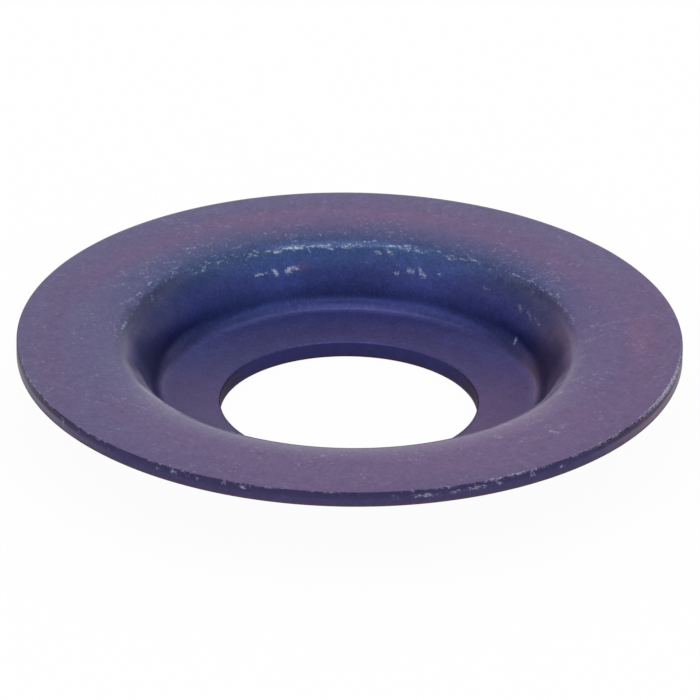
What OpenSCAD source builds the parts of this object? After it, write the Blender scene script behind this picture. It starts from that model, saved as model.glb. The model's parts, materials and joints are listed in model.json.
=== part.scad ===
// Valve spring washer: a dished seat pressed from one blank of sheet steel.
// A wide flat flange rolls over a soft shoulder into a cup with a sloping, bowed wall,
// and the cup's slightly coned floor has a punched centre hole for the valve guide.
// The washer stands on the hole's lower edge: z = 0 is that edge, +Z is the axis.

/* [Sheet] */
// Thickness of the sheet steel
sheet_t = 1.0; // [0.5:0.05:1.2]

/* [Flange] */
// Outside diameter of the flange
flange_d = 42; // [36:0.5:60]
// Rounding that the blanking die leaves on the rim's lower edge
rim_roll = 0.12; // [0.05:0.01:0.4]

/* [Cup] */
// Overall height, from the hole's lower edge to the flange's top
height = 5.35; // [5:0.05:12]
// Diameter of the cup's mouth, where the shoulder's curve would stand upright
cup_d = 26.9; // [24:0.1:32]
// Steepest slope of the wall in degrees, just above its foot
wall_angle = 66; // [60:1:80]
// Radius of the wall's slow bow, from its steepest place up to the shoulder
wall_bow_r = 7; // [3:0.5:12]
// Radius inside the cup where the floor turns up into the wall
foot_r = 1.5; // [0.5:0.05:2.4]
// How the floor rises from the hole outwards, in degrees
floor_slope = 9; // [0:0.5:15]
// Diameter of the centre hole
hole_d = 16.25; // [6:0.05:18]
// Rounding that the punch leaves on the hole's upper edge
hole_roll = 0.16; // [0.05:0.01:0.4]

/* [Shoulder] */
// Radius on top of the shoulder, from the crown down to the wall
shoulder_r = 1.75; // [1.4:0.05:2.4]
// Slope in degrees at which the shoulder gives over to the wall
shoulder_angle = 46; // [35:1:55]
// Radius of the slow crown between the flat flange and the shoulder
crown_r = 15; // [6:0.5:30]
// How far the crown has tipped the sheet where the shoulder takes over
crown_angle = 7; // [2:0.5:15]

/* [Hidden] */
$fn = 180;
// The sheet's colour, a violet-blue temper oxide
oxide = [0.40, 0.36, 0.50];
// How far each bend stands into its neighbours, so that they cross and join
lap = 0.0005;
// How far a slope runs on under the next bend, in degrees or as a share of the bend's radius
run_on = [2, 0.3];

// Radii of the section
hole_r = hole_d / 2;
rim_r = flange_d / 2;

// Outward normal of a skin that slopes by an angle down towards the axis
function leaning(angle) = [-sin(angle), cos(angle)];
// Direction up along such a skin
function rising(angle) = [cos(angle), sin(angle)];

// Centres of the convex curves, from the flat flange inwards, and the wall's steepest place
crown_mid = [
    cup_d / 2 + shoulder_r + (crown_r - shoulder_r) * sin(crown_angle),
    height - crown_r
];
shoulder_mid = crown_mid + (crown_r - shoulder_r) * leaning(crown_angle);
bow_mid = shoulder_mid + (shoulder_r - wall_bow_r) * leaning(shoulder_angle);
wall_low = bow_mid + wall_bow_r * leaning(wall_angle);

// The floor's top at the hole, and how far the wall's steepest place stands over the floor's line
floor_edge = [hole_r, sheet_t / cos(floor_slope)];
wall_rise = (wall_low - floor_edge) * leaning(floor_slope);

// The foot's bend, smaller where a low wall leaves no room, and how far it ends below that place
bend_angle = wall_angle - floor_slope;
foot = min(foot_r, wall_rise / (1 - cos(bend_angle)));
foot_drop = (wall_rise - foot * (1 - cos(bend_angle))) / sin(bend_angle);
foot_mid = wall_low - foot_drop * rising(wall_angle) + foot * leaning(wall_angle);

// A plain rectangle between two opposite corners
module strip(low, high) {
    translate(low) square(high - low);
}

// A slice of a round disc from angle a to angle b, under half a turn
module slice(r, a, b) {
    mid = (a + b) / 2;
    intersection() {
        circle(r = r);
        polygon([[0, 0], for (t = [a, mid, b]) 2 * r * [cos(t), sin(t)]]);
    }
}

// Everything on or under the surface that lies depth inside the sheet's top skin:
// the coned floor, the foot's bend, the wall and its bow, the shoulder, the crown and the flange
module under_skin(depth) {
    far = rim_r + depth + sheet_t;
    deep = -depth - 3 * sheet_t;
    foot_in = foot_mid - (foot + depth) * leaning(floor_slope);
    foot_out = foot_mid - (foot + depth) * leaning(wall_angle);
    wall_foot = foot_out - run_on[1] * foot * rising(wall_angle);
    wall_top = wall_low - depth * leaning(wall_angle);
    floor_in = foot_in - foot_in[0] / cos(floor_slope) * rising(floor_slope);
    floor_out = foot_in + run_on[1] * foot * rising(floor_slope);

    polygon([[0, deep], [floor_out[0], deep], floor_out, floor_in]);
    difference() {
        polygon([foot_mid, foot_in, [foot_in[0], deep], [far, deep], [far, foot_out[1]], foot_out]);
        translate(foot_mid) circle(r = foot + depth + lap);
    }
    polygon([wall_foot, [wall_foot[0], deep], [far, deep], [far, bow_mid[1]], shoulder_mid, wall_top]);
    translate(bow_mid) slice(wall_bow_r - depth + lap, 90 + shoulder_angle, 90 + wall_angle + run_on[0]);
    translate(shoulder_mid) circle(r = shoulder_r - depth + 2 * lap);
    translate(crown_mid) slice(crown_r - depth, 90, 90 + crown_angle);
    strip([crown_mid[0], deep], [far, height - depth]);
}

// What the punch rolls off the hole's upper edge
module rolled_off() {
    middle = floor_edge + [hole_roll, -hole_roll * (1 - sin(floor_slope)) / cos(floor_slope)];
    over = 2 * hole_roll;
    difference() {
        polygon([
            middle, middle + over * leaning(floor_slope), middle + [-over, over], middle - [over, 0]
        ]);
        translate(middle) circle(r = hole_roll);
    }
}

// The rim's cut edge, standing on x = 0, with its top corner rounded off
module cut_edge(roll) {
    strip([0, 0], [roll, sheet_t - roll]);
    translate([0, sheet_t - roll]) intersection() {
        circle(r = roll);
        square(roll);
    }
}

// The pressed sheet between its two cut edges, the hole's and the rim's
module pressed_section() {
    difference() {
        intersection() {
            difference() {
                under_skin(0);
                under_skin(sheet_t);
            }
            strip([hole_r, -sheet_t], [rim_r - rim_roll, height + sheet_t]);
        }
        rolled_off();
    }
    translate([rim_r - rim_roll, height]) mirror([0, 1]) cut_edge(rim_roll);
}

module washer() {
    color(oxide) rotate_extrude() pressed_section();
}

washer();
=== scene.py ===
import json
import math
import random

import bmesh
import bpy
from mathutils import Matrix, Vector, noise


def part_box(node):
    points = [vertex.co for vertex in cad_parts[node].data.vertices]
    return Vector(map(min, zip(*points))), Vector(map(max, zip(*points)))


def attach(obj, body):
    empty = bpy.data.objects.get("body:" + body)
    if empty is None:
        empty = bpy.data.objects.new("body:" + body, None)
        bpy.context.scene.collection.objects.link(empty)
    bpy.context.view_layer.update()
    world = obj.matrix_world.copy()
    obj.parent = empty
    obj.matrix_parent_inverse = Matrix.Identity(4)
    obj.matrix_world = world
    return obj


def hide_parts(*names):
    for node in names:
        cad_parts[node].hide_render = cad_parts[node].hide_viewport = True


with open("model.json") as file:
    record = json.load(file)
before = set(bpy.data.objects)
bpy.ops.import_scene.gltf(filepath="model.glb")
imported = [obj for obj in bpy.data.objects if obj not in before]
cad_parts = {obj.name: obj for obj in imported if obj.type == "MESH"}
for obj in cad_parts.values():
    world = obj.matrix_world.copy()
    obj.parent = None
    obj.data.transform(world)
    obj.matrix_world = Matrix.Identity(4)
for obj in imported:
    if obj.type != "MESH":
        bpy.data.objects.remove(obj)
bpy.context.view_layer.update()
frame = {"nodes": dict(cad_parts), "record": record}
print("frame loaded:", sorted(frame["nodes"]))

mm = 0.001
mounts = {m["name"]: m for m in frame["record"]["mounts"]}
lowCorner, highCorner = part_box("washer")

# sizes the frame states, in millimetres
rimR = (highCorner.x - lowCorner.x) / 2 / mm
topZ = highCorner.z / mm
sheetT = topZ - mounts["spring_face"]["pos_m"][2] / mm
holeR = mounts["guide_bore"]["dims"]["r_mm"]

# slopes, bends and edges of the pressing, in millimetres and degrees
pressing = {
    "mouthRadius": 13.45,
    "floorSlope": 9.0,
    "footRadius": 1.5,
    "wallAngle": 66.0,
    "bowRadius": 7.0,
    "shoulderAngle": 46.0,
    "shoulderRadius": 1.75,
    "crownRadius": 15.0,
    "crownAngle": 7.0,
    "rimRoll": 0.06,
    "holeRoll": 0.16,
    "holeCutEnd": 140.0,  # how far round the roll the cut goes
    "edgeBreak": 0.025,
    "turns": 672,
}


def leaning(degrees):
    # outward normal of a skin that slopes by this angle down towards the axis
    return Vector((-math.sin(math.radians(degrees)), math.cos(math.radians(degrees))))


def rising(degrees):
    # direction up along such a skin
    return Vector((math.cos(math.radians(degrees)), math.sin(math.radians(degrees))))


def bendCentres():
    # centres of the section's bends and the wall's steepest place, from the flat flange inwards
    p = pressing
    slope = math.radians(p["floorSlope"])
    turned = math.radians(p["wallAngle"] - p["floorSlope"])
    crown = Vector((p["mouthRadius"] + p["shoulderRadius"], topZ - p["crownRadius"]))
    crown.x += (p["crownRadius"] - p["shoulderRadius"]) * math.sin(math.radians(p["crownAngle"]))
    shoulder = crown + (p["crownRadius"] - p["shoulderRadius"]) * leaning(p["crownAngle"])
    bow = shoulder + (p["shoulderRadius"] - p["bowRadius"]) * leaning(p["shoulderAngle"])
    steepest = bow + p["bowRadius"] * leaning(p["wallAngle"])
    floorEdge = Vector((holeR, sheetT / math.cos(slope)))
    wallRise = (steepest - floorEdge).dot(leaning(p["floorSlope"]))
    footDrop = (wallRise - p["footRadius"] * (1 - math.cos(turned))) / math.sin(turned)
    foot = steepest - footDrop * rising(p["wallAngle"]) + p["footRadius"] * leaning(p["wallAngle"])
    roll = floorEdge + p["holeRoll"] * Vector((1, -(1 - math.sin(slope)) / math.cos(slope)))
    return {
        "crown": crown, "shoulder": shoulder, "bow": bow, "steepest": steepest, "foot": foot, "roll": roll,
    }


centres = bendCentres()


def straight(start, end, count):
    return [tuple(a + (b - a) * i / count for a, b in zip(start, end)) for i in range(count)]


def bend(centre, radius, startDeg, endDeg, count):
    angles = [math.radians(startDeg + (endDeg - startDeg) * i / count) for i in range(count)]
    return [(centre[0] + radius * math.cos(a), centre[1] + radius * math.sin(a)) for a in angles]


def sectionPath(worn):
    # once round the sheet's section, from the hole's lower edge over the top side and back underneath;
    # worn is how far the rim's upper edge is rubbed down here, and each stretch ends in its count of steps
    p = pressing
    c = centres
    chamfer = p["edgeBreak"]
    footOutside = p["footRadius"] + sheetT
    floorUp, wallUp = leaning(p["floorSlope"]), leaning(p["wallAngle"])
    tipped, turned, steep = 90 + p["crownAngle"], 90 + p["shoulderAngle"], 90 + p["wallAngle"]
    flatR, underZ = c["crown"].x, topZ - sheetT
    path = []

    def add(points, finish):
        path.extend((r, z, finish) for r, z in points)

    add(straight((holeR, chamfer), (holeR, c["roll"].y), 4), "cut")
    add(bend(c["roll"], p["holeRoll"], 180, p["holeCutEnd"], 3), "cut")
    add(bend(c["roll"], p["holeRoll"], p["holeCutEnd"], 90 + p["floorSlope"], 2), "skin")
    add(straight(c["roll"] + p["holeRoll"] * floorUp, c["foot"] - p["footRadius"] * floorUp, 10), "top")
    add(bend(c["foot"], p["footRadius"], 270 + p["floorSlope"], 270 + p["wallAngle"], 12), "top")
    add(straight(c["foot"] - p["footRadius"] * wallUp, c["steepest"], 2), "top")
    add(bend(c["bow"], p["bowRadius"], steep, turned, 18), "top")
    add(bend(c["shoulder"], p["shoulderRadius"], turned, tipped, 16), "top")
    add(bend(c["crown"], p["crownRadius"], tipped, 90, 14), "top")
    add(straight((flatR, topZ), (rimR - worn, topZ), 22), "top")
    add(bend((rimR - worn, topZ - worn), worn, 90, 0, 3), "edge")
    add(straight((rimR, topZ - worn), (rimR, underZ + p["rimRoll"]), 8), "rim")
    add(bend((rimR - p["rimRoll"], underZ + p["rimRoll"]), p["rimRoll"], 0, -90, 4), "cut")
    add(straight((rimR - p["rimRoll"], underZ), (flatR, underZ), 5), "skin")
    add(bend(c["crown"], p["crownRadius"] - sheetT, 90, tipped, 2), "skin")
    add(bend(c["shoulder"], p["shoulderRadius"] - sheetT, tipped, turned, 4), "skin")
    add(bend(c["bow"], p["bowRadius"] - sheetT, turned, steep, 5), "skin")
    add(straight(c["steepest"] - sheetT * wallUp, c["foot"] - footOutside * wallUp, 1), "skin")
    add(bend(c["foot"], footOutside, 270 + p["wallAngle"], 270 + p["floorSlope"], 7), "skin")
    lowEdge = (holeR + chamfer, chamfer * math.tan(math.radians(p["floorSlope"])))
    add(straight(c["foot"] - footOutside * floorUp, lowEdge, 3), "skin")
    add(straight(lowEdge, (holeR, chamfer), 2), "cut")
    return path


# rub marks of the photograph on the top side: azimuth in degrees (0 right, 90 back), place along the
# section from the hole in mm, length along the ring, rise towards the rim, half width (mm), strength
rubMarks = [
    # along the shoulder
    (15, 8.3, 0.9, 0.05, 0.1, 0.5), (20, 8.25, 0.5, 0, 0.09, 0.4),
    (23.5, 8.25, 0.5, 0.05, 0.09, 0.45), (27, 8.55, 0.4, 0.12, 0.1, 0.6),
    (29.5, 8.3, 0.5, 0.05, 0.09, 0.6), (33, 8.2, 0.4, 0.05, 0.09, 0.5),
    (37, 8.3, 0.5, 0.08, 0.09, 0.55), (42.5, 8.15, 1.1, -0.05, 0.09, 0.6),
    (56, 8.03, 0.7, 0.12, 0.1, 0.65), (60, 7.9, 0.3, 0, 0.09, 0.5), (63.3, 7.72, 0.2, 0, 0.1, 0.65),
    (67, 8.05, 0.4, 0, 0.09, 0.45), (72, 7.8, 0.5, 0.05, 0.09, 0.45),
    (75.5, 8.1, 0.3, 0, 0.09, 0.5), (79.5, 7.95, 0.25, 0.05, 0.09, 0.7),
    (80, 7.55, 0.15, 0.12, 0.11, 0.9), (79, 7.45, 0.2, 0, 0.09, 0.6),
    (83, 7.45, 0.45, 0.05, 0.1, 0.8), (84, 8.25, 0.2, 0.05, 0.09, 0.7),
    (86, 8.15, 0.3, 0.06, 0.09, 0.6), (89, 7.85, 1, 0, 0.09, 0.55),
    (91.5, 7.67, 0.25, 0.05, 0.09, 0.7), (96, 7.65, 0.6, 0.18, 0.1, 0.75),
    (98.7, 7.83, 0.5, 0.03, 0.09, 0.7), (101, 7.63, 0.1, 0.25, 0.09, 0.6),
    (104.5, 7.83, 0.9, 0.05, 0.1, 0.9), (107, 7.85, 0.3, 0.1, 0.09, 0.7),
    (109.5, 7.7, 0.4, 0, 0.11, 0.9), (112, 7.85, 0.4, -0.08, 0.09, 0.65),
    (115.5, 7.71, 0.25, 0, 0.09, 0.55), (127, 7.85, 0.2, 0, 0.1, 0.5),
    (129.4, 8.15, 0.1, 0.2, 0.09, 0.55), (131.6, 7.77, 0.35, -0.32, 0.09, 0.75),
    (134.6, 7.75, 0.3, 0, 0.09, 0.5), (153, 7.77, 0.35, -0.32, 0.09, 0.6),
    (171.8, 8.13, 1.2, 0.08, 0.1, 0.7),
    # second row, at the top of the wall
    (25, 6.35, 0.4, 0.1, 0.16, 0.65), (27.5, 6.45, 0.3, 0.05, 0.12, 0.6),
    (31, 6.45, 0.3, 0.08, 0.12, 0.65), (29.3, 6.25, 0.3, 0.05, 0.12, 0.55),
    (35.5, 6.5, 0.3, 0.06, 0.12, 0.65), (34.5, 6.3, 0.3, -0.1, 0.12, 0.55),
    (49.5, 6.55, 0.5, 0, 0.11, 0.5), (64.5, 6.55, 0.2, 0, 0.12, 0.65),
    (69.4, 6.3, 0.2, 0.05, 0.15, 1), (70.1, 6.5, 0.15, 0.1, 0.14, 0.95),
    (71, 6.8, 0.1, 0.1, 0.11, 0.6), (73.1, 6.45, 0.25, 0, 0.15, 1), (77, 6.17, 0.12, 0, 0.14, 0.95),
    (77, 6.75, 0.2, 0, 0.09, 0.45), (79.7, 6.5, 0.15, 0, 0.09, 0.5), (85, 6.75, 0.3, 0, 0.09, 0.35),
    (105.6, 6.5, 0.4, 0.1, 0.11, 1.2), (107.5, 6.35, 0.2, -0.1, 0.14, 1.3),
    (106.8, 6.55, 0.3, 0, 0.09, 1.1), (111.4, 6.5, 0.1, 0.12, 0.12, 1.3),
    (111.1, 6.28, 0.1, 0, 0.11, 1.2), (113.8, 6.45, 0.2, 0, 0.09, 0.7),
    (116.2, 6.45, 0.45, 0.05, 0.1, 0.95), (122, 6.55, 0.3, 0, 0.09, 0.25),
    # strays on the crown, the flange and the foot of the wall
    (31.2, 4.46, 0.05, 0.3, 0.13, 1.2), (50.6, 10.25, 0.15, 0.4, 0.09, 0.5),
    (46, 9.45, 0.2, 0.2, 0.09, 0.4), (18, 9.7, 0.5, 0.1, 0.09, 0.45),
    (97.5, 8.85, 0.1, 0.3, 0.09, 0.4), (104, 8.9, 0.4, 0, 0.1, 0.4),
    (107, 8.75, 0.2, 0.2, 0.09, 0.35), (122, 10.35, 0.2, -0.5, 0.09, 0.5),
    (128, 9.75, 0.3, 0.1, 0.1, 0.4), (131.5, 9.75, 0.3, 0.1, 0.09, 0.35),
    (140, 8.4, 0.25, 0, 0.11, 0.55), (147, 9.25, 0.3, 0.05, 0.1, 0.5),
    (148.6, 8.65, 0.3, -0.1, 0.11, 0.65), (148.4, 10.65, 0.3, -0.55, 0.09, 0.55),
    (155, 8.57, 0.4, 0, 0.11, 0.6), (154, 8.35, 0.3, -0.1, 0.09, 0.45),
    (159, 8.7, 0.7, 0.1, 0.11, 0.5), (162, 9, 0.4, 0.05, 0.1, 0.4),
    (165, 8.5, 0.3, 0.05, 0.09, 0.45), (177, 8.55, 0.6, 0, 0.1, 0.35),
    # a dotted line and two clusters on the right, scratches on the left
    (9.7, 10.9, 1.28, 4.4, 0.26, 0.26), (305.2, 9.9, 0.2, 0.3, 0.24, 0.45),
    (315.8, 11.55, 0.1, 0.4, 0.22, 0.6), (311, 8.6, 0.4, 0.2, 0.22, 0.45),
    (341, 8.9, 0.4, 0.3, 0.24, 0.42), (353, 8.5, 0.3, 0.2, 0.2, 0.36),
    (2, 8.9, 0.3, 0.5, 0.24, 0.34), (332.5, 8.6, 0.4, 0.1, 0.2, 0.4),
    (9, 9.4, 0.3, 0.4, 0.24, 0.34), (195.9, 12.1, 0.05, 0.75, 0.07, 0.5),
    (199, 10.6, 0.2, 0.6, 0.07, 0.35),
]

# small dark dots on the top side: azimuth, place in mm, radius in mm, strength
darkDots = [(5.2, 3.22, 0.14, 0.6), (216.5, 11.28, 0.13, 0.7)]

# marks on the rim's cut side: azimuth, low and high edge in mm, half width in degrees, strength
rimMarks = [
    (212, 4.7, 5.2, 0.4, 0.6), (217, 4.9, 5.1, 0.3, 0.4), (222, 5.25, 5.4, 0.8, 0.5),
    (225, 4.9, 5.1, 0.3, 0.3), (236, 4.95, 5.1, 0.5, 0.5), (239.2, 4.95, 5.15, 0.8, 0.75),
    (241.8, 5.0, 5.2, 0.4, 0.4), (243.6, 4.95, 5.15, 0.4, 0.4), (248.5, 5.0, 5.4, 0.35, 0.8),
    (252, 5.05, 5.4, 0.4, 0.9), (253.5, 5.2, 5.4, 0.35, 0.5), (264, 5.3, 5.4, 0.4, 0.7),
    (274.5, 4.6, 5.0, 0.3, 0.25), (278, 4.9, 5.05, 0.7, 0.55), (283, 4.88, 5.03, 2.2, 0.72),
    (288.5, 4.92, 5.03, 1.4, 0.6), (292.5, 4.92, 5.08, 2.2, 0.72), (296.5, 4.95, 5.1, 0.8, 0.6),
    (281, 5.3, 5.4, 0.4, 0.7), (287, 5.3, 5.4, 0.4, 0.7), (292, 5.25, 5.4, 0.4, 0.5),
    (295.5, 5.28, 5.4, 0.5, 1.0), (299, 5.3, 5.4, 0.8, 0.8), (303, 4.95, 5.2, 0.5, 0.6),
    (309, 4.85, 5.02, 0.6, 0.48), (320, 4.85, 5.1, 0.35, 0.35), (323, 5.3, 5.4, 1.0, 0.7),
    (331, 5.3, 5.4, 0.6, 0.6),
    # the upper edge's light line, partly wear and partly a painted edge highlight, whole on the right and
    # broken elsewhere
    (343, 5.29, 5.4, 15, 1.15), (318, 5.32, 5.4, 10, 0.6), (299, 5.32, 5.4, 7, 0.75),
    (284, 5.33, 5.4, 6, 0.42), (268, 5.33, 5.4, 6, 0.35), (254, 5.33, 5.4, 6, 0.4),
    (238, 5.33, 5.4, 7, 0.42), (220, 5.33, 5.4, 8, 0.42), (200, 5.32, 5.4, 11, 0.5),
]

# soft patches on the top side, pinker (above 0) or more slate (below 0) than the sheet around them:
# azimuth, place in mm, half length in degrees, half width in mm, strength
blushes = [
    (2, 12.15, 9, 0.9, 0.5), (120, 11.85, 36, 0.7, 0.35), (78, 11.75, 20, 0.6, 0.3),
    (272, 11.95, 30, 1.2, 0.2), (103.5, 6.55, 1.5, 0.25, 0.4), (35, 12.95, 16, 1.5, -0.35),
    (170, 10.95, 25, 2, -0.2), (205, 11.45, 22, 2.5, -0.12), (90, 14.15, 60, 0.7, -0.35),
]

# the many small marks between the ones listed above, in batches: count, range of azimuths, lowest,
# highest and commonest place (none for the shoulder's crest), ranges of length and strength, spread of rise
scatter = {
    "seed": 41,
    "crestPlace": 7.81,
    "crestDrop": 0.45,  # how much further out the crest's marks lie on the left and the right
    "crestPower": 1.5,
    "crestSpread": 0.11,
    "halfWidth": 0.09,
    "batches": [
        (90, (14, 176), None, (0.1, 0.5), (0.15, 0.4), 0.05),
        (60, (72, 118), None, (0.1, 0.4), (0.25, 0.55), 0.05),
        (70, (20, 215), (8.26, 10.96, 8.46), (0.1, 0.4), (0.12, 0.35), 0.15),
        (50, (118, 176), (8.16, 10.56, 8.56), (0.1, 0.45), (0.2, 0.5), 0.15),
        (25, (195, 225), (8.46, 11.96, 9.16), (0.1, 0.4), (0.2, 0.45), 0.15),
        (30, (285, 330), (8.76, 11.76, 9.46), (0.1, 0.4), (0.2, 0.45), 0.15),
        (160, (0, 360), (9.96, 14.56, 10.46), (0.1, 0.4), (0.1, 0.3), 0.15),
    ],
}

# how the rim's upper edge is worn and how marks fade, in millimetres and degrees
wear = {
    "rippleScale": 9,
    "rippleLayer": 3.0,
    "rippleShare": 0.6,
    "nickDepth": 0.05,
    "nickSoftness": 0.2,
    "leastBreak": 0.01,
    "strokeEnd": 9,  # squared distance in half widths past which a stroke is gone
    "strokeWindow": 6,  # how far round from a point strokes are looked for
    "rimMarkFade": 0.06,
}


def turnFrom(azimuth, at):
    # degrees round the ring from one azimuth to another, the short way
    return (azimuth - at + 180) % 360 - 180


def arcFrom(azimuth, at, radius):
    return math.radians(turnFrom(azimuth, at)) * radius


def scatteredMarks():
    s = scatter
    rng = random.Random(s["seed"])
    marks = []
    for count, azimuths, places, lengths, strengths, lean in s["batches"]:
        for _ in range(count):
            azimuth = rng.uniform(*azimuths)
            if places:
                place = rng.triangular(*places)
            else:
                drop = s["crestDrop"] * abs(math.cos(math.radians(azimuth))) ** s["crestPower"]
                place = s["crestPlace"] + drop + rng.gauss(0, s["crestSpread"])
            length = rng.uniform(*lengths)
            rise = rng.gauss(0, lean)
            marks.append((azimuth, place, length, rise, s["halfWidth"], rng.uniform(*strengths)))
    return marks


def wornEdge(azimuth):
    # how far the rim's upper edge is rubbed down, with the nicks of the photograph
    w = wear
    a = math.radians(azimuth)
    ripple = noise.noise((w["rippleScale"] * math.cos(a), w["rippleScale"] * math.sin(a), w["rippleLayer"]))
    worn = pressing["edgeBreak"] * (1 + w["rippleShare"] * ripple)
    for at, _, high, half, strength in rimMarks:
        if high >= topZ:
            away = turnFrom(azimuth, at) / (half + w["nickSoftness"])
            worn += w["nickDepth"] * strength * math.exp(-away * away)
    return max(worn, w["leastBreak"])


def softPatch(azimuth, place):
    total = 0.0
    for at, where, half, width, strength in blushes:
        da = turnFrom(azimuth, at) / half
        dp = (place - where) / width
        total += strength * math.exp(-da * da - dp * dp)
    return total


def strokeAt(marks, azimuth, place, radius):
    # the strongest rub mark here, each one a soft straight stroke
    total = 0.0
    for at, where, length, rise, width, strength in marks:
        dx = arcFrom(azimuth, at, radius)
        dy = place - where
        span = length * length + rise * rise
        t = max(-0.5, min(0.5, (dx * length + dy * rise) / span))
        far = (dx - t * length) ** 2 + (dy - t * rise) ** 2
        if far < wear["strokeEnd"] * width * width:
            total = max(total, strength * math.exp(-far / (width * width)))
    return total


def dotAt(azimuth, place, radius):
    total = 0.0
    for at, where, size, strength in darkDots:
        dx = arcFrom(azimuth, at, radius)
        far = (dx * dx + (place - where) ** 2) / (size * size)
        total = max(total, strength * math.exp(-far))
    return total


def rimMarkAt(azimuth, z):
    total = 0.0
    for at, low, high, half, strength in rimMarks:
        away = turnFrom(azimuth, at) / half
        beyond = max(low - z, z - high, 0) / wear["rimMarkFade"]
        total = max(total, strength * math.exp(-away * away - beyond * beyond))
    return total


def turnSection(name):
    # the section turned about the axis, with the marks painted on its points
    turns = pressing["turns"]
    marks = rubMarks + scatteredMarks()
    bm = bmesh.new()
    rub = bm.verts.layers.float.new("rub")
    blush = bm.verts.layers.float.new("blush")
    dot = bm.verts.layers.float.new("dot")
    rings = []
    for i in range(turns):
        azimuth = 360 * i / turns
        c, s = math.cos(math.radians(azimuth)), math.sin(math.radians(azimuth))
        near = [m for m in marks if abs(turnFrom(azimuth, m[0])) < wear["strokeWindow"]]
        ring = []
        place = pressing["holeRoll"]
        before = None
        path = sectionPath(wornEdge(azimuth))
        for r, z, finish in path:
            vert = bm.verts.new((r * c * mm, r * s * mm, z * mm))
            if finish == "top":
                if before:
                    place += math.hypot(r - before[0], z - before[1])
                before = (r, z)
                vert[rub] = strokeAt(near, azimuth, place, r)
                vert[blush] = softPatch(azimuth, place)
                vert[dot] = dotAt(azimuth, place, r)
            elif finish in ("rim", "edge"):
                vert[rub] = rimMarkAt(azimuth, z)
            ring.append(vert)
        rings.append(ring)
    for i, ring in enumerate(rings):
        following = rings[(i + 1) % turns]
        for j, (_, _, finish) in enumerate(path):
            k = (j + 1) % len(path)
            face = bm.faces.new((ring[j], following[j], following[k], ring[k]))
            face.smooth = True
            face.material_index = 0 if finish in ("top", "skin") else 1
    bmesh.ops.recalc_face_normals(bm, faces=bm.faces)
    mesh = bpy.data.meshes.new(name)
    bm.to_mesh(mesh)
    bm.free()
    piece = bpy.data.objects.new(name, mesh)
    bpy.context.scene.collection.objects.link(piece)
    print("turned", name, len(mesh.vertices), "points", len(mesh.polygons), "faces")
    return piece


washerPiece = turnSection("pressedWasher")


def srgb(r, g, b):
    # screen values 0 to 255, as linear colour
    def channel(v):
        v = v / 255
        return v / 12.92 if v <= 0.04045 else ((v + 0.055) / 1.055) ** 2.4
    return (channel(r), channel(g), channel(b), 1.0)


def put(tree, kind, sockets=None, **props):
    # one node, set out in rows, with its sockets set to values or wired to other nodes
    node = tree.nodes.new(kind)
    spot = len(tree.nodes)
    node.location = (spot % 8 * 220, -(spot // 8) * 260)
    for key, value in props.items():
        setattr(node, key, value)
    for key, value in (sockets or {}).items():
        if isinstance(value, bpy.types.NodeSocket):
            tree.links.new(value, node.inputs[key])
        else:
            node.inputs[key].default_value = value
    return node


def calc(tree, operation, a, b=0.0, clamp=False):
    return put(tree, "ShaderNodeMath", {0: a, 1: b}, operation=operation, use_clamp=clamp).outputs[0]


def times(tree, product, *factors):
    for factor in factors:
        product = calc(tree, "MULTIPLY", product, factor)
    return product


def swing(tree, value, amount):
    # a cloud's value, made to swing either way
    return times(tree, calc(tree, "SUBTRACT", value, 0.5), amount)


def fade(tree, value, low, high, start=0.0, end=1.0):
    sockets = {"Value": value, "From Min": low, "From Max": high, "To Min": start, "To Max": end}
    return put(tree, "ShaderNodeMapRange", sockets, interpolation_type="SMOOTHSTEP").outputs[0]


def ease(tree, share, start, end):
    # from one value to another, as a share goes from 0 to 1
    return fade(tree, share, 0.0, 1.0, start, end)


def between(tree, value, start, rise, fall, end):
    return times(tree, fade(tree, value, start, rise), fade(tree, value, end, fall))


def blend(tree, share, a, b, kind="MIX"):
    return put(tree, "ShaderNodeMix", {0: share, 6: a, 7: b}, data_type="RGBA", blend_type=kind).outputs[2]


def cover(tree, share, under, over):
    return blend(tree, share, under, srgb(*over))


def tinted(tree, color, tint, share=1.0):
    return blend(tree, share, color, tint, "MULTIPLY")


def leftToRight(tree, right, color, settings):
    # one tint on the left going over to another on the right
    share = fade(tree, right, -settings["tintReach"], settings["tintReach"])
    return tinted(tree, color, blend(tree, share, settings["leftTint"], settings["rightTint"]))


def cloud(tree, vector, scale, detail, rough):
    sockets = {"Vector": vector, "Scale": scale, "Detail": detail, "Roughness": rough}
    return put(tree, "ShaderNodeTexNoise", sockets).outputs[0]


def stretched(tree, vector, factors):
    return put(tree, "ShaderNodeVectorMath", {0: vector, 1: factors}, operation="MULTIPLY").outputs[0]


def painted(tree, layer):
    return put(tree, "ShaderNodeAttribute", attribute_name=layer).outputs["Fac"]


def ramp(tree, value, stops):
    # colours by place along the section, stops in millimetres of radius plus height
    low, high = stops[0][0], stops[-1][0]
    span = {"Value": value, "From Min": low, "From Max": high}
    share = put(tree, "ShaderNodeMapRange", span).outputs[0]
    node = put(tree, "ShaderNodeValToRGB", {0: share})
    while len(node.color_ramp.elements) < len(stops):
        node.color_ramp.elements.new(0.5)
    for element, (along, color) in zip(node.color_ramp.elements, stops):
        element.position = (along - low) / (high - low)
        element.color = srgb(*color)
    return node.outputs[0]


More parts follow.
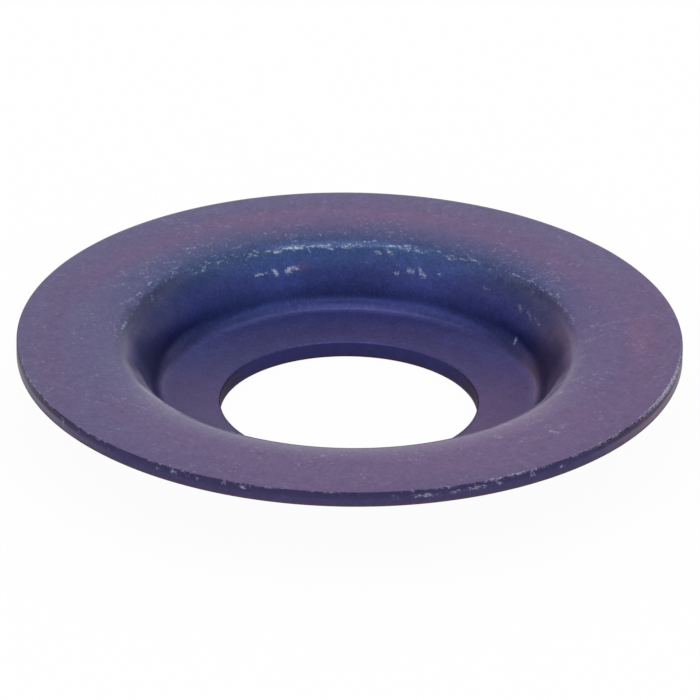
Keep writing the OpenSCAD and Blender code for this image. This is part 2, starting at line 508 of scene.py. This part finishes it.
# effects that both finishes share: a cloud is its scale, detail and roughness, and the ring is unrolled
# on a circle of this size, so that clouds stretch round it
effects = {
    "ringSize": 4.0,
    "fineCloud": (5.5, 3.0, 0.65),
    "fineShare": 0.7,
    "coarseCloud": (1.3, 2.0, 0.5),
    "coarseShare": 0.3,
    "strokeStretch": (14, 14, 11),
    "strokeCloud": (1.0, 2.0, 0.6),
    "speckCloud": (8.0, 1.0, 0.5),
    "speckShare": 0.5,
    "ragged": (0.34, 0.66, -0.8, 0.0),  # what the clouds take off a mark
    "bright": (-0.25, 1.05),
    "faintest": (0.02, 0.3),
}


def newGroup(name, inputs, outputs):
    tree = bpy.data.node_groups.new(name, "ShaderNodeTree")
    kinds = {"f": "NodeSocketFloat", "v": "NodeSocketVector"}
    for label, kind in inputs:
        tree.interface.new_socket(label, in_out="INPUT", socket_type=kinds[kind])
    for label, kind in outputs:
        tree.interface.new_socket(label, in_out="OUTPUT", socket_type=kinds[kind])
    return tree


def makeRingPlace():
    # where a point lies on the pressing: millimetres, and shares of the radius towards back and right
    tree = newGroup("ringPlace", [], [
        ("along", "f"), ("height", "f"), ("back", "f"), ("right", "f"), ("spot", "v"), ("ring", "v"),
    ])
    coords = put(tree, "ShaderNodeTexCoord").outputs["Object"]
    spot = stretched(tree, coords, (1 / mm, 1 / mm, 1 / mm))
    x, y, height = put(tree, "ShaderNodeSeparateXYZ", {0: spot}).outputs
    radius = calc(tree, "SQRT", calc(tree, "ADD", times(tree, x, x), times(tree, y, y)))
    right = calc(tree, "DIVIDE", x, radius)
    back = calc(tree, "DIVIDE", y, radius)
    along = calc(tree, "ADD", radius, height)
    ring = put(tree, "ShaderNodeCombineXYZ", {
        0: times(tree, right, effects["ringSize"]), 1: times(tree, back, effects["ringSize"]), 2: along,
    }).outputs[0]
    put(tree, "NodeGroupOutput", {
        "along": along, "height": height, "back": back, "right": right, "spot": spot, "ring": ring,
    })
    return tree


def makeFineGrain():
    # the satin oxide's grain: a tone around 1 and a height for the bump
    tree = newGroup("fineGrain", [("spot", "v"), ("depth", "f")], [("tone", "f"), ("height", "f")])
    given = put(tree, "NodeGroupInput").outputs
    fine = cloud(tree, given["spot"], *effects["fineCloud"])
    coarse = cloud(tree, given["spot"], *effects["coarseCloud"])
    finePart = times(tree, fine, effects["fineShare"])
    coarsePart = times(tree, coarse, effects["coarseShare"])
    both = calc(tree, "ADD", finePart, coarsePart)
    tone = calc(tree, "ADD", swing(tree, both, given["depth"]), 1.0)
    put(tree, "NodeGroupOutput", {"tone": tone, "height": fine})
    return tree


def makeRubMask():
    # the painted rub marks, broken up by the grain into specks and strokes
    tree = newGroup("rubMask", [("spot", "v"), ("ring", "v")], [("bright", "f")])
    given = put(tree, "NodeGroupInput").outputs
    mark = painted(tree, "rub")
    strokes = cloud(tree, stretched(tree, given["ring"], effects["strokeStretch"]), *effects["strokeCloud"])
    specks = cloud(tree, given["spot"], *effects["speckCloud"])
    ragged = fade(tree, blend(tree, effects["speckShare"], strokes, specks), *effects["ragged"])
    bright = fade(tree, calc(tree, "ADD", mark, ragged), *effects["bright"])
    put(tree, "NodeGroupOutput", {"bright": times(tree, bright, fade(tree, mark, *effects["faintest"]))})
    return tree


ringPlace = makeRingPlace()
fineGrain = makeFineGrain()
rubMask = makeRubMask()


def shared(tree, group, **sockets):
    return put(tree, "ShaderNodeGroup", sockets, node_tree=group).outputs


def startFinish(name, grainDepth):
    # a new material with the shared effects placed in it
    material = bpy.data.materials.new(name)
    material.use_nodes = True
    tree = material.node_tree
    at = shared(tree, ringPlace)
    grain = shared(tree, fineGrain, spot=at["spot"], depth=grainDepth)
    rub = shared(tree, rubMask, spot=at["spot"], ring=at["ring"])["bright"]
    return material, at, grain, rub


# temper colours of the skin by place, which is radius plus height in mm, with painted light and shade in
# them:
# floor to 12.8, foot to 14.8, wall to 18.7, shoulder to 20.2, crown to 22.2. Back and right are shares of
# the radius. A rise is where a patch starts and is full, and along, across and the windows of the painted
# shades are where it starts, is full, begins to fade and ends. Thicken, thin, gaps and backFull are a range
# and the values at its two ends.
temperAndPaintedLight = {
    # the back run is painted darker along the foot and paler up the wall, as painted shade and light
    "back": [
        (9.2, (67, 65, 113)), (10.9, (62, 60, 109)), (12.8, (66, 68, 124)), (13.5, (53, 58, 104)),
        (14.1, (57, 67, 124)), (14.8, (50, 60, 120)), (16.0, (68, 78, 146)), (18.7, (60, 80, 126)),
        (19.2, (60, 76, 112)), (19.7, (70, 83, 125)), (21.2, (82, 82, 126)), (22.8, (96, 80, 123)),
        (26.3, (97, 88, 128)),
    ],
    # the side run's wall, from 13.7 to 18.4, is painted paler, as painted light
    "side": [
        (9.2, (82, 65, 111)), (12.8, (71, 57, 105)), (13.2, (82, 69, 116)), (13.7, (122, 109, 162)),
        (14.6, (120, 109, 156)), (15.6, (142, 134, 180)), (18.4, (152, 142, 188)), (19.4, (93, 84, 126)),
        (21.9, (92, 82, 125)), (24.0, (97, 79, 122)), (26.3, (96, 82, 122)),
    ],
    # the front run's wall and near lip, from 14.6 to 19.5, are painted paler, as painted light
    "front": [
        (9.2, (82, 65, 111)), (12.8, (72, 58, 106)), (14.6, (104, 92, 138)), (17.4, (116, 104, 150)),
        (18.9, (150, 140, 182)), (19.5, (126, 113, 152)), (20.2, (121, 109, 141)), (20.9, (108, 95, 131)),
        (21.9, (104, 86, 127)), (26.3, (94, 79, 122)),
    ],
    "backStart": -0.1,
    "backFull": (17.5, 19.5, 0.66, 0.9),  # further back on the shoulder than on the wall
    "frontRise": (-0.28, -0.75),
    "driftCloud": (0.55, 2.0, 0.5),
    "driftBy": 1.2,
    "leftTint": (0.935, 0.985, 0.99, 1.0),
    "rightTint": (1.09, 0.98, 1.0, 1.0),
    "tintReach": 0.9,
    # slow drift of the flange between pink and slate
    "flangeRise": (20.5, 22.8),
    "flangeCloud": (0.6, 3.0, 0.55),
    "flangeSway": 0.8,
    "pink": (120, 88, 128),
    "slate": (92, 96, 132),
    # the wall turns browner on the right
    "brown": {
        "color": (160, 126, 142), "share": 0.4,
        "along": (13.0, 14.0, 18.0, 19.2), "way": "right", "rise": (0.9, 1.0),
    },
    # painted light and shade, windows where the wall, the foot and the left shoulder are painted lighter or
    # darker:
    # window along, which way round, window that way, tint
    "shades": [
        ((16.5, 17.5, 18.4, 19.0), "back", (0.0, 0.12, 0.34, 0.5), (0.7, 0.7, 0.82, 1.0)),
        ((15.9, 17.0, 18.7, 19.4), "back", (0.4, 0.64, 0.76, 0.92), (1.45, 1.22, 1.22, 1.0)),
        ((14.4, 15.6, 18.5, 19.1), "back", (-0.27, -0.17, -0.07, 0.07), (1.6, 1.5, 1.4, 1.0)),
        ((13.5, 13.8, 14.2, 14.7), "back", (0.02, 0.14, 0.26, 0.42), (0.66, 0.68, 0.74, 1.0)),
        ((18.7, 19.2, 19.8, 20.3), "right", (-1.2, -1.1, -0.99, -0.93), (0.74, 0.8, 0.82, 1.0)),
    ],
    # a painted highlight: a light line where the floor meets its foot at the back
    "crease": {
        "color": (104, 112, 172), "share": 0.16,
        "along": (13.1, 13.3, 13.36, 13.52), "way": "back", "rise": (0.6, 0.98),
    },
    # tiny light flecks in loose clusters, thickest over the shoulder and the crown
    "flecks": {
        "color": (140, 134, 158),
        "cloud": (4.2, 1.0, 0.5), "rise": (0.57, 0.76),
        "clusterCloud": (0.5, 2.0, 0.6), "clusterRise": (0.36, 0.68),
        "thicken": (17.5, 19.6, 0.1, 0.7), "thin": (21.4, 24.0, 1.0, 0.7),
    },
    # a painted sheen on the near lip, laid on as a pale matt layer, and paler at its left end
    "dust": {
        "color": (150, 144, 162), "share": 0.78,
        "along": (16.6, 17.6, 18.7, 20.0), "way": "back", "rise": (-0.1, -0.32),
        "cloud": (2.4, 3.0, 0.6), "gaps": (0.3, 0.62, 0.35, 1.0),
    },
    "paleDust": {
        "color": (176, 170, 186), "share": 0.85,
        "along": (18.2, 18.8, 19.5, 20.0), "way": "back", "rise": (-0.2, -0.4),
        "cloud": (3.0, 2.0, 0.6), "gaps": (0.3, 0.6, 0.6, 1.0),
        "across": (-0.95, -0.87, -0.78, -0.55),
    },
    "worn": (176, 184, 208),
    "dot": (30, 26, 44),
    "metallic": 1.0,
    "dustMetallic": 0.0,
    "roughness": 0.29,
    "wornRoughness": 0.4,
    "grainDepth": 1.3,
    "bump": 0.06,
    "bumpHeight": 0.1 * mm,
}


def patchShare(tree, at, patch):
    rise = fade(tree, at[patch["way"]], *patch["rise"], 0.0, patch["share"])
    return times(tree, between(tree, at["along"], *patch["along"]), rise)


def paintedSheenShare(tree, at, dust):
    gaps = fade(tree, cloud(tree, at["spot"], *dust["cloud"]), *dust["gaps"])
    return times(tree, patchShare(tree, at, dust), gaps)


def makeSkin():
    t = temperAndPaintedLight
    material, at, grain, rub = startFinish("bluedSkin", t["grainDepth"])
    tree = material.node_tree
    shader = tree.nodes["Principled BSDF"]

    # three runs of colour, for the sides, the back and the front, with wandering borders; on the wall and
    # the foot they carry painted light and shade besides the temper colour
    wander = swing(tree, cloud(tree, at["ring"], *t["driftCloud"]), t["driftBy"])
    along = calc(tree, "ADD", at["along"], wander)
    backRise = (t["backStart"], fade(tree, at["along"], *t["backFull"]))
    color = ramp(tree, along, t["side"])
    color = blend(tree, fade(tree, at["back"], *backRise), color, ramp(tree, along, t["back"]))
    color = blend(tree, fade(tree, at["back"], *t["frontRise"]), color, ramp(tree, along, t["front"]))
    color = leftToRight(tree, at["right"], color, t)

    drift = swing(tree, cloud(tree, at["ring"], *t["flangeCloud"]), t["flangeSway"])
    drift = times(tree, drift, fade(tree, at["along"], *t["flangeRise"]))
    sway = calc(tree, "ADD", painted(tree, "blush"), drift)
    color = cover(tree, calc(tree, "MAXIMUM", sway, 0.0, True), color, t["pink"])
    color = cover(tree, calc(tree, "MULTIPLY", sway, -1.0, True), color, t["slate"])

    color = cover(tree, patchShare(tree, at, t["brown"]), color, t["brown"]["color"])
    # painted light and shade: lighter and darker windows on the wall, the foot and the left shoulder
    for places, way, turn, tint in t["shades"]:
        share = times(tree, between(tree, at["along"], *places), between(tree, at[way], *turn))
        color = tinted(tree, color, tint, share)
    # painted highlight, a light line along the back of the foot
    color = cover(tree, patchShare(tree, at, t["crease"]), color, t["crease"]["color"])

    f = t["flecks"]
    fleck = fade(tree, cloud(tree, at["spot"], *f["cloud"]), *f["rise"])
    cluster = fade(tree, cloud(tree, at["spot"], *f["clusterCloud"]), *f["clusterRise"])
    thick = times(tree, fade(tree, at["along"], *f["thicken"]), fade(tree, at["along"], *f["thin"]))
    color = cover(tree, times(tree, fleck, cluster, thick), color, f["color"])
    color = cover(tree, painted(tree, "dot"), color, t["dot"])
    color = tinted(tree, color, grain["tone"])

    # painted sheen on the near lip, a pale matt layer where its grazing edge catches light
    pale = paintedSheenShare(tree, at, t["paleDust"])
    pale = times(tree, pale, between(tree, at["right"], *t["paleDust"]["across"]))
    dust = calc(tree, "MAXIMUM", paintedSheenShare(tree, at, t["dust"]), pale)
    paintedSheenColor = cover(tree, pale, srgb(*t["dust"]["color"]), t["paleDust"]["color"])
    color = blend(tree, dust, color, paintedSheenColor)
    color = cover(tree, rub, color, t["worn"])

    rough = ease(tree, rub, t["roughness"], t["wornRoughness"])
    metallic = ease(tree, dust, t["metallic"], t["dustMetallic"])
    relief = {"Strength": t["bump"], "Distance": t["bumpHeight"], "Height": grain["height"]}
    tree.links.new(color, shader.inputs["Base Color"])
    tree.links.new(rough, shader.inputs["Roughness"])
    tree.links.new(metallic, shader.inputs["Metallic"])
    tree.links.new(put(tree, "ShaderNodeBump", relief).outputs[0], shader.inputs["Normal"])
    return material


# the punched hole and the blanked rim, heights on the rim from its top and its underside
edge = {
    "navy": (71, 65, 102),
    "dark": (60, 57, 93),
    "lip": (84, 69, 75),
    "lipRise": (0.22, 0.08),
    # the rim's sides are painted paler than its front, as a painted reflection at grazing
    "side": (116, 104, 126),
    "sideDark": (58, 50, 74),
    "sideRise": (-0.78, -0.4),
    "darkRise": (-0.62, -0.25),
    "streak": 1.5,
    "streakStretch": (1.5, 1.5, 7.0),
    "streakCloud": (1.0, 3.0, 0.6),
    "leftTint": (0.9, 0.95, 1.0, 1.0),
    "rightTint": (1.1, 1.02, 1.0, 1.0),
    "tintReach": 0.5,
    "hole": (52, 52, 104),
    "holeSide": (54, 42, 62),
    "holeSideRise": (0.8, 0.2),
    "holeLip": (66, 54, 78),
    "holeLipRise": (0.3, 0.1),
    "outward": (12.0, 20.0),  # radius plus height where the hole's finish goes over to the rim's
    "worn": (178, 170, 196),
    "metallic": 1.0,
    "holeMetallic": 0.0,
    "roughness": 0.4,
    "holeRoughness": 0.7,
    "holeGloss": 0.1,
    "grazing": (0.76, 0.74, 0.77, 1.0),
    "grainDepth": 0.9,
}


def makeCutEdge():
    e = edge
    material, at, grain, rub = startFinish("shearedEdge", e["grainDepth"])
    tree = material.node_tree
    shader = tree.nodes["Principled BSDF"]

    # streaks of the cut run round the ring, the upper half of the rim is darker and its lower lip browner
    streaks = cloud(tree, stretched(tree, at["ring"], e["streakStretch"]), *e["streakCloud"])
    fromTop = calc(tree, "SUBTRACT", at["height"], topZ)
    fromUnderside = calc(tree, "SUBTRACT", at["height"], topZ - sheetT)
    high = calc(tree, "ADD", fade(tree, fromTop, *e["darkRise"]), swing(tree, streaks, e["streak"]), True)
    front = cover(tree, high, srgb(*e["navy"]), e["dark"])
    # the sides painted paler than the front, as a painted reflection
    side = leftToRight(tree, at["right"], cover(tree, high, srgb(*e["side"]), e["sideDark"]), e)
    rim = blend(tree, fade(tree, at["back"], *e["sideRise"]), front, side)
    rim = cover(tree, fade(tree, fromUnderside, *e["lipRise"]), rim, e["lip"])

    hole = cover(tree, fade(tree, at["back"], *e["holeSideRise"]), srgb(*e["hole"]), e["holeSide"])
    hole = cover(tree, fade(tree, at["height"], *e["holeLipRise"]), hole, e["holeLip"])
    outer = fade(tree, at["along"], *e["outward"])
    color = tinted(tree, blend(tree, outer, hole, rim), grain["tone"])
    color = cover(tree, rub, color, e["worn"])

    tree.links.new(color, shader.inputs["Base Color"])
    tree.links.new(ease(tree, outer, e["holeMetallic"], e["metallic"]), shader.inputs["Metallic"])
    tree.links.new(ease(tree, outer, e["holeRoughness"], e["roughness"]), shader.inputs["Roughness"])
    shader.inputs["Specular IOR Level"].default_value = e["holeGloss"]
    shader.inputs["Specular Tint"].default_value = e["grazing"]
    return material


washerPiece.data.materials.append(makeSkin())
washerPiece.data.materials.append(makeCutEdge())
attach(washerPiece, "root")
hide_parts("washer")
print("finish laid on", washerPiece.name)

# soft studio: a pale floor, a white backdrop behind and overhead with a dim patch above the lens, a dimmer
# room in front with a soft box and a lit upper corner on either side of the lens, and one overhead box.
# Sizes are in metres. The ranges are of parts of the direction looked in, squared where they go across.
studio = {
    "floorSize": 6.0,
    "floorDrop": 0.02 * mm,
    "floorColor": (0.95, 0.95, 0.95, 1.0),
    "floorGlow": 0.96,
    "surround": 0.85,
    "backdrop": 0.95,
    "room": 0.4,
    "frontBoxes": 0.62,
    "overhead": (0.6, 0.8),
    "backdropBehind": (0.5, 0.85),
    "backdropAcross": (0.35, 0.1),
    "boxesInFront": (-0.25, -0.55),
    "boxesAcross": (0.08, 0.25, 0.4, 0.65),
    "cornerHeight": (0.56, 0.66),
    "cornerInFront": (0.1, -0.2),
    "dimPatch": 0.2,
    "dimHeight": (0.84, 0.92),
    "dimInFront": (-0.08, -0.32),
    "dimAcross": (0.1, 0.01),
    "boxSize": 0.24,
    "boxHeight": 0.45,
    "boxPower": 0.16,
}


def seenDirectly(tree, path):
    # 1 for what the lens, a reflection or glass looks at, 0 for light that falls on a surface
    pair = calc(tree, "MAXIMUM", path["Is Camera Ray"], path["Is Glossy Ray"])
    return calc(tree, "MAXIMUM", pair, path["Is Transmission Ray"])


def makeFloor():
    bpy.ops.mesh.primitive_plane_add(size=studio["floorSize"], location=(0, 0, -studio["floorDrop"]))
    floor = bpy.context.active_object
    floor.name = "paleFloor"
    material = bpy.data.materials.new("paleFloor")
    material.use_nodes = True
    tree = material.node_tree
    tree.nodes.remove(tree.nodes["Principled BSDF"])
    matt = put(tree, "ShaderNodeBsdfDiffuse", {"Color": studio["floorColor"]}).outputs[0]
    glow = put(tree, "ShaderNodeEmission").outputs[0]
    path = put(tree, "ShaderNodeLightPath").outputs
    share = times(tree, seenDirectly(tree, path), studio["floorGlow"])
    both = put(tree, "ShaderNodeMixShader", {0: share, 1: matt, 2: glow}).outputs[0]
    tree.links.new(both, tree.nodes["Material Output"].inputs["Surface"])
    floor.data.materials.append(material)


def makeSurround():
    # even light on everything; metal shows the backdrop and the room, and the lens sees white all round
    s = studio
    world = bpy.data.worlds.new("whiteSurround")
    bpy.context.scene.world = world
    world.use_nodes = True
    tree = world.node_tree
    back = tree.nodes["Background"]
    back.inputs["Color"].default_value = (1, 1, 1, 1)
    way = put(tree, "ShaderNodeTexCoord").outputs["Generated"]
    x, y, z = put(tree, "ShaderNodeSeparateXYZ", {0: way}).outputs
    across = times(tree, x, x)
    behind = times(tree, fade(tree, y, *s["backdropBehind"]), fade(tree, across, *s["backdropAcross"]))
    beside = between(tree, across, *s["boxesAcross"])
    boxes = times(tree, fade(tree, y, *s["boxesInFront"]), beside)
    corner = times(tree, fade(tree, z, *s["cornerHeight"]), beside, fade(tree, y, *s["cornerInFront"]))
    dim = times(tree, fade(tree, across, *s["dimAcross"]), fade(tree, y, *s["dimInFront"]))
    dim = times(tree, dim, fade(tree, z, *s["dimHeight"]))
    above = calc(tree, "MAXIMUM", fade(tree, z, *s["overhead"]), corner)
    above = times(tree, above, ease(tree, dim, 1.0, s["dimPatch"]))
    room = ease(tree, boxes, s["room"], s["frontBoxes"])
    shown = ease(tree, calc(tree, "MAXIMUM", above, behind), room, s["backdrop"])
    path = put(tree, "ShaderNodeLightPath").outputs
    level = ease(tree, seenDirectly(tree, path), s["surround"], shown)
    level = calc(tree, "MAXIMUM", level, path["Is Camera Ray"])
    tree.links.new(level, back.inputs["Strength"])


def makeOverheadBox():
    data = bpy.data.lights.new("overheadBox", "AREA")
    data.size = studio["boxSize"]
    data.energy = studio["boxPower"]
    light = bpy.data.objects.new("overheadBox", data)
    light.location = (0, 0, studio["boxHeight"])
    bpy.context.scene.collection.objects.link(light)


makeFloor()
makeSurround()
makeOverheadBox()

# the photograph's view: angles in degrees, distance in rim radii, places in pixels of its frame
lens = {
    "elevation": 26.83,
    "roll": 0.716,
    "distance": 40.0,
    "pixelsPerRadius": 333.16,
    "middleAt": (349.69, 339.2),
    "frame": 700,
    "sensor": 36.0,
}


def makeCamera():
    e, turn = math.radians(lens["elevation"]), math.radians(lens["roll"])
    radius = rimR * mm
    right = Vector((1, 0, 0))
    up = Vector((0, math.sin(e), math.cos(e)))
    back = Vector((0, -math.cos(e), math.sin(e)))
    camRight = right * math.cos(turn) + up * math.sin(turn)
    camUp = up * math.cos(turn) - right * math.sin(turn)
    perPixel = radius / lens["pixelsPerRadius"]
    aside = (lens["frame"] / 2 - lens["middleAt"][0]) * perPixel
    below = (lens["frame"] / 2 - lens["middleAt"][1]) * perPixel
    data = bpy.data.cameras.new("photoCamera")
    data.sensor_width = lens["sensor"]
    data.lens = lens["pixelsPerRadius"] * lens["distance"] / lens["frame"] * lens["sensor"]
    camera = bpy.data.objects.new("photoCamera", data)
    spot = Vector((0, 0, topZ * mm)) + back * radius * lens["distance"]
    spot += camRight * aside - camUp * below
    axes = Matrix((camRight, camUp, back)).transposed().to_4x4()
    camera.matrix_world = Matrix.Translation(spot) @ axes
    bpy.context.scene.collection.objects.link(camera)
    bpy.context.scene.camera = camera


makeCamera()
bpy.context.scene.view_settings.view_transform = "Standard"
print("studio and camera set")
